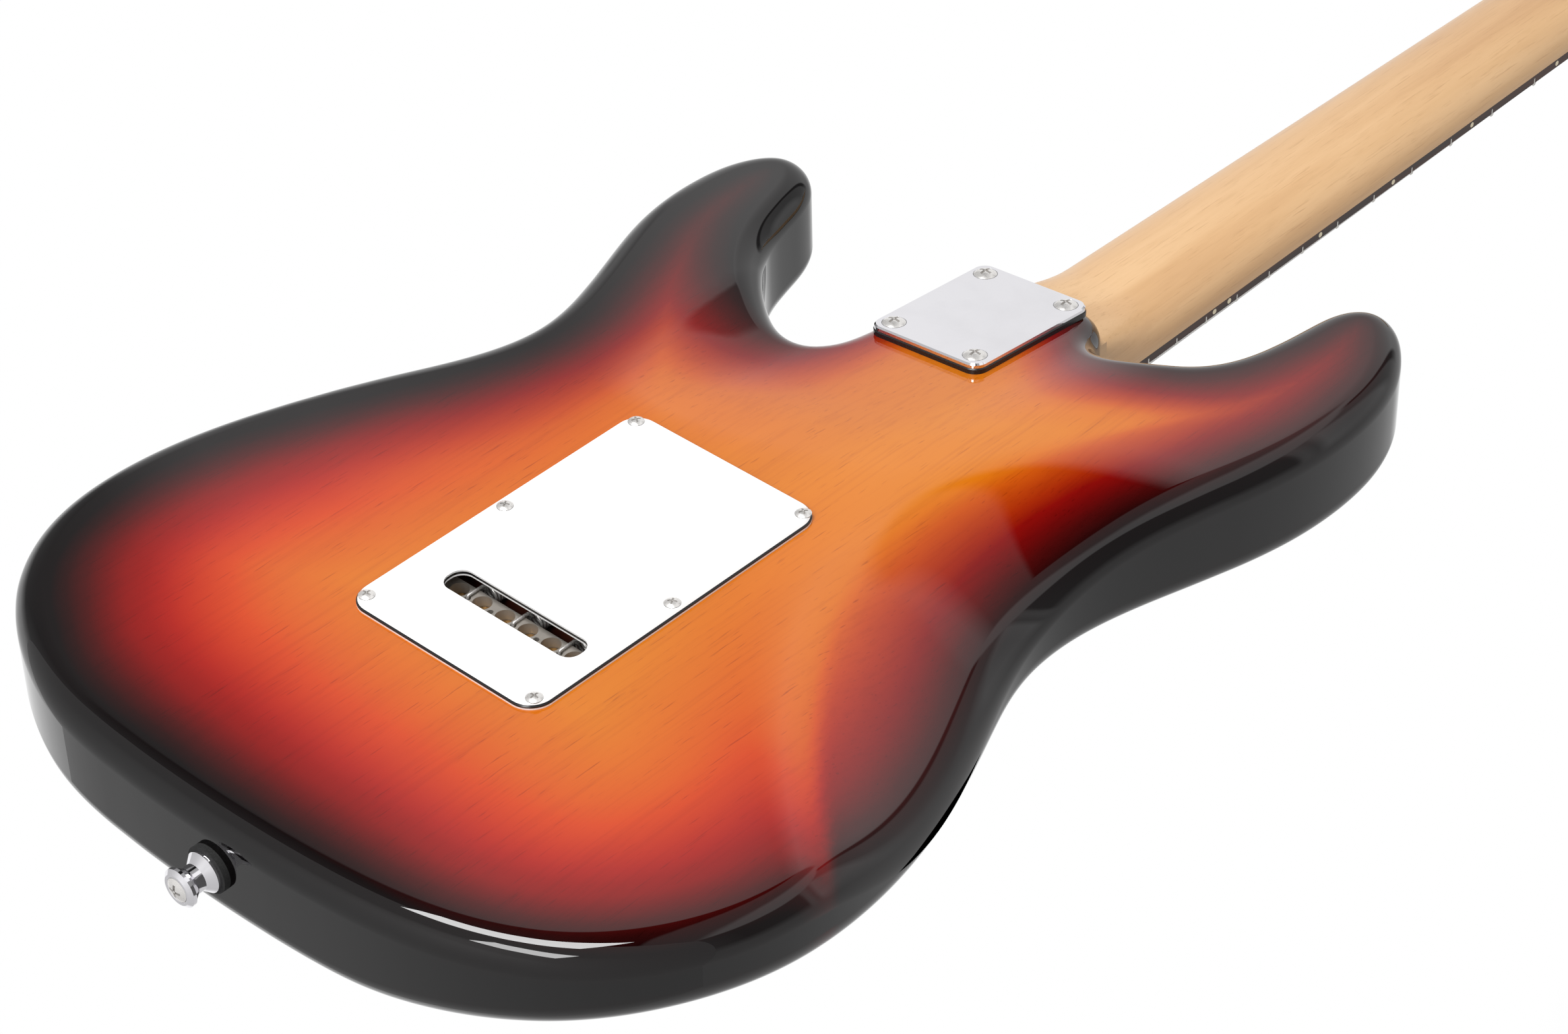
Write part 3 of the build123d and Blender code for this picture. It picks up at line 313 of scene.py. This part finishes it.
def outer_loop(points, triangles, level):
    """The longest closed line where the mesh crosses the plane Y = level, as XZ points."""
    side = points[:, 1] - level
    neighbours = {}
    above = side[triangles] > 0
    for triangle in triangles[above.any(axis=1) & ~above.all(axis=1)]:
        ends = []
        for a, b in zip(triangle, np.roll(triangle, -1)):
            if (side[a] > 0) != (side[b] > 0):
                a, b = sorted((a, b), key=lambda index: side[index])
                share = side[a] / (side[a] - side[b])
                spot = points[a] + share * (points[b] - points[a])
                ends.append((round(spot[0], 7), round(spot[2], 7)))
        if ends[0] != ends[1]:
            neighbours.setdefault(ends[0], []).append(ends[1])
            neighbours.setdefault(ends[1], []).append(ends[0])
    loops, left = [], set(neighbours)
    while left:
        start = min(left)
        loop = [start]
        left.discard(start)
        while True:
            onward = [spot for spot in neighbours[loop[-1]] if spot in left]
            if not onward:
                break
            loop.append(onward[0])
            left.discard(onward[0])
        loops.append(np.array(loop))
    return max(loops, key=lambda loop: np.ptp(loop[:, 0]) + np.ptp(loop[:, 1]))


def resample(loop, count):
    """The same closed loop with evenly spaced points."""
    closed = np.vstack([loop, loop[:1]])
    run = np.r_[0, np.cumsum(np.linalg.norm(np.diff(closed, axis=0), axis=1))]
    places = np.linspace(0, run[-1], count, endpoint=False)
    return np.c_[np.interp(places, run, closed[:, 0]), np.interp(places, run, closed[:, 1])]


def softened(loop, passes):
    """A closed loop with each point drawn a little towards its neighbours."""
    for _ in range(passes):
        loop = 0.5 * loop + 0.25 * (np.roll(loop, 1, 0) + np.roll(loop, -1, 0))
    return loop


# The rim is the CAD outline at mid depth. Beside a strap button it follows a level with no washer seat.
RIM_COUNT = 900
RIM_LEVEL, WHOLE_LEVEL = 0.0175, 0.0125
SEAT_REACH = 0.016
MOUNTS = {mount["name"]: mount["pos_m"] for mount in frame["record"]["mounts"]}
points, triangles = mesh_arrays(NODES["body"])
rim = resample(outer_loop(points, triangles, RIM_LEVEL), RIM_COUNT)
whole = resample(outer_loop(points, triangles, WHOLE_LEVEL), 8 * RIM_COUNT)
for x, _, z in (MOUNTS["tail_strap_button"], MOUNTS["horn_strap_button"]):
    for index in np.flatnonzero(np.hypot(rim[:, 0] - x, rim[:, 1] - z) < SEAT_REACH):
        rim[index] = whole[np.argmin(np.sum((whole - rim[index]) ** 2, axis=1))]
rim = softened(rim, 6)
area = 0.5 * np.sum(rim[:, 0] * np.roll(rim[:, 1], -1) - np.roll(rim[:, 0], -1) * rim[:, 1])
if area < 0:
    rim = rim[::-1]
along = np.roll(rim, -1, 0) - np.roll(rim, 1, 0)
along /= np.linalg.norm(along, axis=1)[:, None]
inward = np.c_[-along[:, 1], along[:, 0]]


def softplus(value, width):
    """Zero below zero and straight above it, with a rounded corner."""
    return width * np.logaddexp(0.0, value / width)


def eased(value, low, high):
    """From 0 at low to 1 at high, level at both ends."""
    share = np.clip((value - low) / (high - low), 0.0, 1.0)
    return share * share * (3 - 2 * share)


def to_bench(x, z):
    """Row-frame X and Z in metres to the design's millimetres across and up from the saddle line."""
    return x * 1000, (z + SCALE) * 1000


def ridge_line(y):
    """How far to the bass side the waist contour starts, in millimetres."""
    return 64.5 + 0.00406 * (y - 120) ** 2


def back_depth(x, z):
    """How deep the waist contour and the heel are carved below the flat back, in metres."""
    x, y = to_bench(x, z)
    waist = 0.38 / (1 + np.exp((y - 135) / 18)) * softplus(-x - ridge_line(y), 7.0)
    plane = softplus(11.2 + 0.1028 * (y - 222.25) + 0.0875 * x, 1.0)
    heel = plane * (1 - eased(np.abs(x), 34, 78)) * eased(y, 92, 150)
    return (waist + heel) / 1000


def front_depth(x, z):
    """How deep the forearm contour is carved below the flat front, in metres."""
    x, y = to_bench(x, z)
    return 0.22 * softplus(0.94 * (-x - 60) - 0.345 * (y + 142), 7.0) / 1000


def rolled(distance):
    """Drop of the rounded edge at a distance in from the rim."""
    reach = np.clip(EDGE - distance, 0, EDGE)
    return EDGE - np.sqrt(EDGE ** 2 - reach ** 2)


STEPS = EDGE - EDGE * np.cos(np.radians(np.linspace(0, 90, 11)))
FIELD = 0.0035  # spacing of the points on a face
WALL_ROWS = 4


def burst_distance(spots, gaps):
    """The rim distance as the sprayer treated it: less fade at the neck joint, more on the treble side, plus
    a painted highlight: a lighter band along the waist contour's ridge.
    """
    x, y = to_bench(spots[:, 0], spots[:, 1])
    neck_joint = np.exp(-(x / 48) ** 2 - ((y - 190) / 62) ** 2)
    down_slope = -x - ridge_line(y)
    # Painted highlight: the burst is lightened in a band along the ridge where the waist contour leaves the
    # flat back.
    ridge_highlight = np.exp(-((down_slope + 4) / 18) ** 2) / (1 + np.exp((down_slope - 0.5) / 1.6))
    ridge_highlight *= eased(y, -70, 0) * (1 - eased(y, 170, 240))
    side = gaps * (1 - 0.055 * np.clip(x / 100, -1.3, 1.3)) - 0.0035 * x / 100
    return side + 0.030 * neck_joint + 0.026 * ridge_highlight


def face_normals(spots, depth, outward, side):
    """Exact shading normals of one face: the carved depth's slope, turned outwards down the rolled edge."""
    step = 0.0004
    slope_x = (depth(spots[:, 0] + step, spots[:, 1]) - depth(spots[:, 0] - step, spots[:, 1])) / (2 * step)
    slope_z = (depth(spots[:, 0], spots[:, 1] + step) - depth(spots[:, 0], spots[:, 1] - step)) / (2 * step)
    turn = np.zeros(len(spots))
    turn[:len(STEPS) * RIM_COUNT] = np.repeat(np.clip(1 - STEPS / EDGE, 0, 1), RIM_COUNT)
    level = np.sqrt(1 - turn ** 2)
    away = np.zeros((len(spots), 2))
    away[:len(STEPS) * RIM_COUNT] = np.tile(outward, (len(STEPS), 1))
    normals = np.c_[turn * away[:, 0] + level * slope_x, side * level, turn * away[:, 1] + level * slope_z]
    return normals / np.linalg.norm(normals, axis=1)[:, None]


def rim_distance(spots):
    """The distance from each spot to the rim line."""
    nearest = np.empty(len(spots))
    starts, ways = rim, np.roll(rim, -1, 0) - rim
    lengths = np.sum(ways * ways, axis=1)
    for first in range(0, len(spots), 2000):
        part = spots[first:first + 2000, None, :]
        share = np.clip(np.sum((part - starts) * ways, axis=2) / lengths, 0, 1)
        gap = part - (starts + share[:, :, None] * ways)
        nearest[first:first + 2000] = np.sqrt(np.min(np.sum(gap * gap, axis=2), axis=1))
    return nearest


def inside(spots, loop):
    """Which spots lie inside a closed loop."""
    hit = np.zeros(len(spots), bool)
    for (ax, az), (bx, bz) in zip(loop, np.roll(loop, -1, 0)):
        crosses = (az > spots[:, 1]) != (bz > spots[:, 1])
        with np.errstate(divide="ignore", invalid="ignore"):
            where = ax + (spots[:, 1] - az) / (bz - az) * (bx - ax)
        hit ^= crosses & (spots[:, 0] < where)
    return hit


def sheet(depth, cut_loops):
    """One face of the body: rings down the rolled edge, an even field inside and cut-out loops."""
    rings = np.vstack([rim + inward * step for step in STEPS])
    xs = np.arange(rim[:, 0].min(), rim[:, 0].max(), FIELD)
    zs = np.arange(rim[:, 1].min(), rim[:, 1].max(), FIELD)
    grid = np.array([(x + 0.5 * FIELD * (row % 2), z) for row, z in enumerate(zs) for x in xs])
    grid = grid[inside(grid, rim)]
    grid = grid[rim_distance(grid) > EDGE + 0.6 * FIELD]
    innermost = (len(STEPS) - 1) * RIM_COUNT
    core = [Vector(spot) for spot in np.vstack([rings[innermost:], grid])]
    edges = [(i, (i + 1) % RIM_COUNT) for i in range(RIM_COUNT)]
    for loop in cut_loops:
        base = len(core)
        core += [Vector(corner) for corner in loop]
        edges += [(base + i, base + (i + 1) % len(loop)) for i in range(len(loop))]
    verts, _, faces, _, _, _ = delaunay_2d_cdt(core, edges, [], 1, 1e-7)
    verts = np.array([tuple(v) for v in verts])
    faces = np.array([f for f in faces if len(f) == 3])
    centres = verts[faces].mean(axis=1)
    for loop in cut_loops:
        drop = inside(centres, np.array(loop))
        faces, centres = faces[~drop], centres[~drop]
    outer = [
        (ring * RIM_COUNT + i, ring * RIM_COUNT + (i + 1) % RIM_COUNT,
         (ring + 1) * RIM_COUNT + (i + 1) % RIM_COUNT, (ring + 1) * RIM_COUNT + i)
        for ring in range(len(STEPS) - 1) for i in range(RIM_COUNT)
    ]
    made = {tuple(np.round(vert, 8)): innermost + index for index, vert in enumerate(verts)}
    seam = [made.get(tuple(np.round(spot, 8)), innermost + index)
            for index, spot in enumerate(rings[innermost:])]
    quads = [tuple(seam[k - innermost] if k >= innermost else k for k in quad) for quad in outer]
    shell = np.vstack([rings[:innermost], verts])
    return shell, quads + [tuple(int(k) + innermost for k in face) for face in faces]


def body_mesh(name, cut_back, cut_front):
    """The whole body: a back sheet and a front sheet, joined by a wall along the rim."""
    back, back_faces = sheet(back_depth, cut_back)
    front, front_faces = sheet(front_depth, cut_front)
    back_gap, front_gap = rim_distance(back), rim_distance(front)
    back_level = BACK - back_depth(back[:, 0], back[:, 1]) - rolled(back_gap)
    front_level = front_depth(front[:, 0], front[:, 1]) + rolled(front_gap)
    rows = [back_level[:RIM_COUNT] + (front_level[:RIM_COUNT] - back_level[:RIM_COUNT]) * k / (WALL_ROWS + 1)
            for k in range(1, WALL_ROWS + 1)]
    verts = [(x, y, z) for (x, z), y in zip(back, back_level)]
    offset = len(verts)
    verts += [(x, y, z) for (x, z), y in zip(front, front_level)]
    side = len(verts)
    for row in rows:
        verts += [(x, y, z) for (x, z), y in zip(rim, row)]
    faces = [face[::-1] for face in back_faces]
    faces += [tuple(k + offset for k in face) for face in front_faces]
    starts = [0] + [side + k * RIM_COUNT for k in range(WALL_ROWS)] + [offset]
    for low, high in zip(starts, starts[1:]):
        faces += [(low + i, low + (i + 1) % RIM_COUNT, high + (i + 1) % RIM_COUNT, high + i)
                  for i in range(RIM_COUNT)]
    mesh = bpy.data.meshes.new(name)
    mesh.from_pydata(verts, [], faces)
    wall_gaps = np.zeros(WALL_ROWS * RIM_COUNT)
    # The burst distance, with the painted highlight along the waist ridge, goes to the lacquer as the rim
    # attribute.
    gaps = np.r_[burst_distance(back, back_gap), burst_distance(front, front_gap), wall_gaps]
    mesh.attributes.new("rim", "FLOAT", "POINT").data.foreach_set("value", gaps.astype(np.float32))
    mesh.polygons.foreach_set("use_smooth", [True] * len(mesh.polygons))
    mesh.update()
    wall = np.tile(np.c_[-inward[:, 0], np.zeros(RIM_COUNT), -inward[:, 1]], (WALL_ROWS, 1))
    mesh.normals_split_custom_set_from_vertices(np.vstack([
        face_normals(back, back_depth, -inward, 1), face_normals(front, front_depth, -inward, -1), wall]))
    obj = bpy.data.objects.new(name, mesh)
    bpy.context.scene.collection.objects.link(obj)
    return obj


def bench(x, y):
    """Millimetres from the saddle line to row-frame X and Z."""
    return (x / 1000, y / 1000 - SCALE)


CAVITY_FLOOR = 0.028
CAVITY = [bench(*corner) for corner in (
    (-38.6, -33), (38.6, -33), (38.6, 2), (29, 2), (29, 80), (-29, 80), (-29, 2), (-38.6, 2))]
BRIDGE_HOLE = [bench(*corner) for corner in ((-38.4, -27), (38.4, -27), (38.4, -1), (-38.4, -1))]
SWITCH_HOLE = [bench(*corner) for corner in ((58, 34), (76, 30), (80, 52), (60, 58))]
JACK_X, _, JACK_Z = MOUNTS["output_jack"]
JACK_ALONG, JACK_ACROSS = 0.018, 0.0092
SLANT = math.sqrt(0.5)  # sine and cosine of the jack cup's 45 degrees
JACK_HOLE = [
    (JACK_X + SLANT * (JACK_ALONG * math.cos(turn) - JACK_ACROSS * math.sin(turn)),
     JACK_Z + SLANT * (JACK_ALONG * math.cos(turn) + JACK_ACROSS * math.sin(turn)))
    for turn in np.linspace(0, 2 * math.pi, 40, endpoint=False)
]
skin = body_mesh("body_skin", [CAVITY], [BRIDGE_HOLE, SWITCH_HOLE, JACK_HOLE])
skin.data.materials.append(PAINTS["body_finish"])
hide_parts("body")
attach(skin, "guitar")


def liner(name, loop, low, high):
    """Walls and floor of a cavity, opening towards the back."""
    verts = [(x, high, z) for x, z in loop] + [(x, low, z) for x, z in loop]
    count = len(loop)
    faces = [(i, (i + 1) % count, count + (i + 1) % count, count + i) for i in range(count)]
    mesh = bpy.data.meshes.new(name)
    mesh.from_pydata(verts, [], faces + [tuple(range(count, 2 * count))])
    mesh.materials.append(dark_cavity("cavity_stain"))
    obj = bpy.data.objects.new(name, mesh)
    bpy.context.scene.collection.objects.link(obj)
    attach(obj, "guitar")


liner("spring_cavity_liner", CAVITY, CAVITY_FLOOR, BACK)


# ---------------------------------------------------------------- wound springs
def tube(name, path, radius, slot):
    """A wire of a given radius along a list of points."""
    curve = bpy.data.curves.new(name, "CURVE")
    curve.dimensions = "3D"
    curve.bevel_depth = radius
    curve.bevel_resolution = 3
    curve.use_fill_caps = True
    line = curve.splines.new("POLY")
    line.points.add(len(path) - 1)
    for point, spot in zip(line.points, path):
        point.co = (*spot, 1.0)
    maker = bpy.data.objects.new(name + "_wire", curve)
    bpy.context.scene.collection.objects.link(maker)
    bpy.context.view_layer.update()
    mesh = bpy.data.meshes.new_from_object(maker)
    bpy.data.objects.remove(maker)
    mesh.polygons.foreach_set("use_smooth", [True] * len(mesh.polygons))
    mesh.materials.clear()
    mesh.materials.append(PAINTS[slot])
    obj = bpy.data.objects.new(name, mesh)
    bpy.context.scene.collection.objects.link(obj)
    return obj


SPRING_LOW, SPRING_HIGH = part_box("vibrato_springs")
BLOCK_HIGH, CLAW_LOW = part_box("inertia_block")[1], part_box("spring_claw")[0]
COIL_RADIUS, WIRE, TURNS, POINTS_A_TURN = 0.00345, 0.00055, 42, 14
COIL_Y = 0.033
COIL_START, COIL_END = BLOCK_HIGH[2] + 0.0030, CLAW_LOW[2] - 0.0095
HOOK_Y, HOOK_Z = BLOCK_HIGH[1] + 0.0010, BLOCK_HIGH[2] - 0.0056
FULL_TURN = 2 * math.pi * TURNS
for number, x in enumerate((SPRING_LOW[0] + 0.004, 0.0, SPRING_HIGH[0] - 0.004)):
    coil = [
        (x + COIL_RADIUS * math.sin(turn), COIL_Y + COIL_RADIUS * math.cos(turn),
         COIL_START + (COIL_END - COIL_START) * turn / FULL_TURN)
        for turn in np.linspace(0, FULL_TURN, TURNS * POINTS_A_TURN)
    ]
    hook = [(x, HOOK_Y - 0.004, HOOK_Z), (x, HOOK_Y - 0.0004, HOOK_Z), (x, HOOK_Y, HOOK_Z + 0.0005),
            (x, HOOK_Y, HOOK_Z + 0.0068), (x, HOOK_Y - 0.0008, HOOK_Z + 0.0088)]
    tail = [(x, COIL_Y + 0.0022, COIL_END + 0.0012), (x, COIL_Y + 0.0016, COIL_END + 0.0060)]
    spring = tube(f"wound_spring_{number + 1}", hook + coil + tail, WIRE, "nickel")
    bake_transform(spring)
    if number == 1:
        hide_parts("vibrato_springs")


# ---------------------------------------------------------------- camera, floor and light
scene = bpy.context.scene
scene.view_settings.view_transform = "Standard"
camera_data = bpy.data.cameras.new("camera")
camera_data.lens = 94.21
camera_data.sensor_width = 36.0
camera_data.clip_start = 0.01
camera = bpy.data.objects.new("camera", camera_data)
scene.collection.objects.link(camera)
right = Vector((-0.73424, -0.02124, 0.67855))
down = Vector((-0.40566, -0.78772, -0.46361))
ahead = Vector((0.54436, -0.61566, 0.56976))
turned = Matrix((right, -down, -ahead)).transposed().to_4x4()
camera.matrix_world = Matrix.Translation((-0.78331, 0.89214, -1.35070)) @ turned
scene.camera = camera

floor_paint = Paint("pale_floor", IOR=1.4)
clouds = floor_paint.noise((2, 2, 2), 3)
floor_paint.colour(floor_paint.mix(clouds, (0.80, 0.80, 0.80), (0.76, 0.76, 0.76)))
floor_paint.shader.inputs["Roughness"].default_value = 0.7
bpy.ops.mesh.primitive_plane_add(size=14, location=(0, 0, -2.1))
floor = bpy.context.object
floor.name = "floor"
floor.data.materials.append(floor_paint.material)


def soft_box(name, place, target, size, power):
    """A rectangular light aimed at a target, in metres and watts."""
    light = bpy.data.lights.new(name, "AREA")
    light.shape = "RECTANGLE"
    light.size, light.size_y = size
    light.energy = power
    obj = bpy.data.objects.new(name, light)
    obj.location = place
    obj.rotation_euler = (Vector(target) - Vector(place)).to_track_quat("-Z", "Y").to_euler()
    scene.collection.objects.link(obj)


MIDDLE = Vector((0.0, 0.02, -0.62))
soft_box("overhead_box", (0.15, 1.75, -1.05), MIDDLE, (1.1, 0.5), 25)
soft_box("tail_strip", (-0.33, 1.10, -1.70), (-0.05, 0.03, -0.78), (0.7, 0.30), 7)

world = bpy.data.worlds.new("white_studio")
scene.world = world
world.use_nodes = True
sky = world.node_tree
towards = sky.nodes.new("ShaderNodeTexCoord").outputs["Generated"]


def graded(axis, stops):
    """Brightness along one axis of the direction, from -1 to 1, as (place, brightness) stops."""
    along = node(sky, "ShaderNodeVectorMath", operation="DOT_PRODUCT")
    sky.links.new(towards, along.inputs[0])
    along.inputs[1].default_value = axis
    spread = node(sky, "ShaderNodeMapRange")
    for index, number in zip((1, 2, 3, 4), (-1.0, 1.0, 0.0, 1.0)):
        spread.inputs[index].default_value = number
    sky.links.new(along.outputs["Value"], spread.inputs[0])
    made = sky.nodes.new("ShaderNodeValToRGB")
    elements = made.color_ramp.elements
    while len(elements) < len(stops):
        elements.new(0.5)
    for element, (place, brightness) in zip(elements, stops):
        element.position = (place + 1) / 2
        element.color = (brightness, brightness, brightness, 1.0)
    sky.links.new(spread.outputs[0], made.inputs[0])
    return made.outputs[0]


def combined(operation, first, second, factor=None):
    """Two of the sky's brightnesses multiplied, or mixed by a factor."""
    made = sky.nodes.new("ShaderNodeMix")
    made.data_type = "RGBA"
    made.blend_type = operation
    made.inputs[0].default_value = 1.0
    for socket, value in ((made.inputs[6], first), (made.inputs[7], second), (made.inputs[0], factor)):
        if value is not None:
            sky.links.new(value, socket)
    return made.outputs[2]


# The sky that the lacquer mirrors: bands up the neck's way, a dark gap across, a card over the waist slope.
above = graded((0, 0, 1), [
    (-0.3, 0.40), (0.0, 0.22), (0.44, 0.28), (0.455, 0.38), (0.474, 0.72),
    (0.50, 0.78), (0.55, 0.60), (0.60, 1.08), (0.72, 0.92)])
across = graded((1, 0, 0), [
    (-0.40, 1.0), (-0.30, 0.55), (-0.13, 0.55), (-0.10, 0.15), (-0.05, 0.15), (-0.02, 1.0)])
below = graded((1, 0, 0), [(0.10, 0.65), (0.35, 1.0)])
towards_back = graded((0, 1, 0), [(-0.15, 0.0), (0.15, 1.0)])
overhead = graded((-0.7071, 0, 0.7071), [
    (-0.60, 0.25), (0.0, 0.01), (0.112, 0.01), (0.135, 0.38), (0.37, 0.42), (0.44, 1.05)])
straight_up = graded((0, 1, 0), [(0.70, 0.0), (0.73, 1.0)])
upper = combined("MIX", combined("MULTIPLY", above, across), overhead, straight_up)
studio = combined("MIX", below, upper, towards_back)
sky.links.new(studio, sky.nodes["Background"].inputs[0])
sky.nodes["Background"].inputs[1].default_value = 1.0
